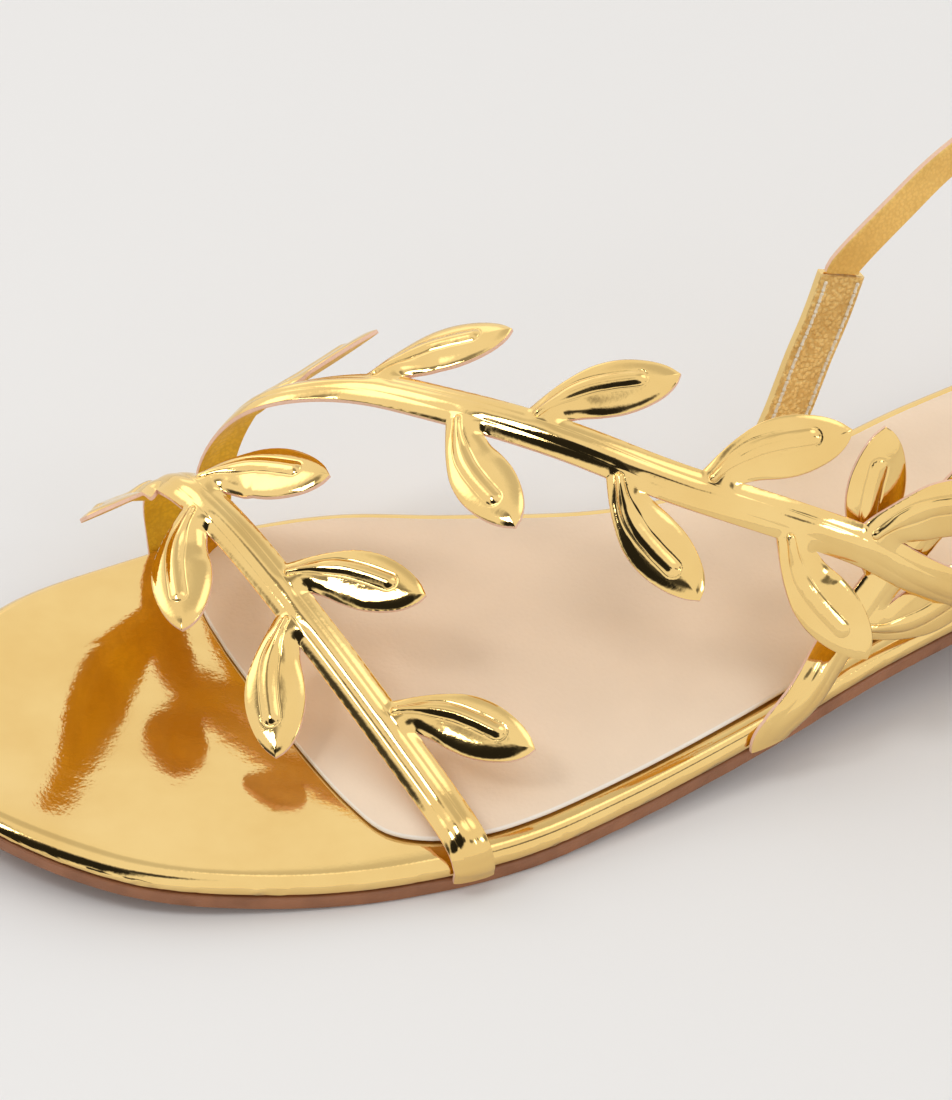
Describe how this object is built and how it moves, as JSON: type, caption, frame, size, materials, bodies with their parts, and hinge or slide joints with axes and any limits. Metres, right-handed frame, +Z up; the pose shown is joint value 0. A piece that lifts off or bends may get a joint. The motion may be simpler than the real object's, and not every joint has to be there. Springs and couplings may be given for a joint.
{
  "type": "sandal",
  "caption": "Flat left-foot sandal with embossed leaf-branch straps, a thin shaped sole, a low heel and a narrow buckled ankle strap.",
  "frame": {"origin": "on the ground under the ball of the foot, where the sole's length and its middle line cross", "axes": "+X from toe to heel, +Y to the inner side of the foot, +Z up"},
  "size_m": [0.255, 0.0921, 0.084],
  "materials": {
    "mirror_gold": "mirror-gold foil on leather",
    "matt_gold": "soft gold pebbled leather",
    "sock": "matt beige leather",
    "outsole": "smooth brown sole leather",
    "buckle": "polished gold"
  },
  "bodies": {
    "root": {"outsole": "outsole", "heel_lift": "outsole", "footbed_board": "mirror_gold", "footbed_sock": "sock", "toe_strap": "mirror_gold", "instep_straps": "mirror_gold", "medial_tab": "matt_gold", "ankle_strap": "matt_gold", "buckle_frame": "buckle", "buckle_prong": "buckle"}
  },
  "joints": []
}
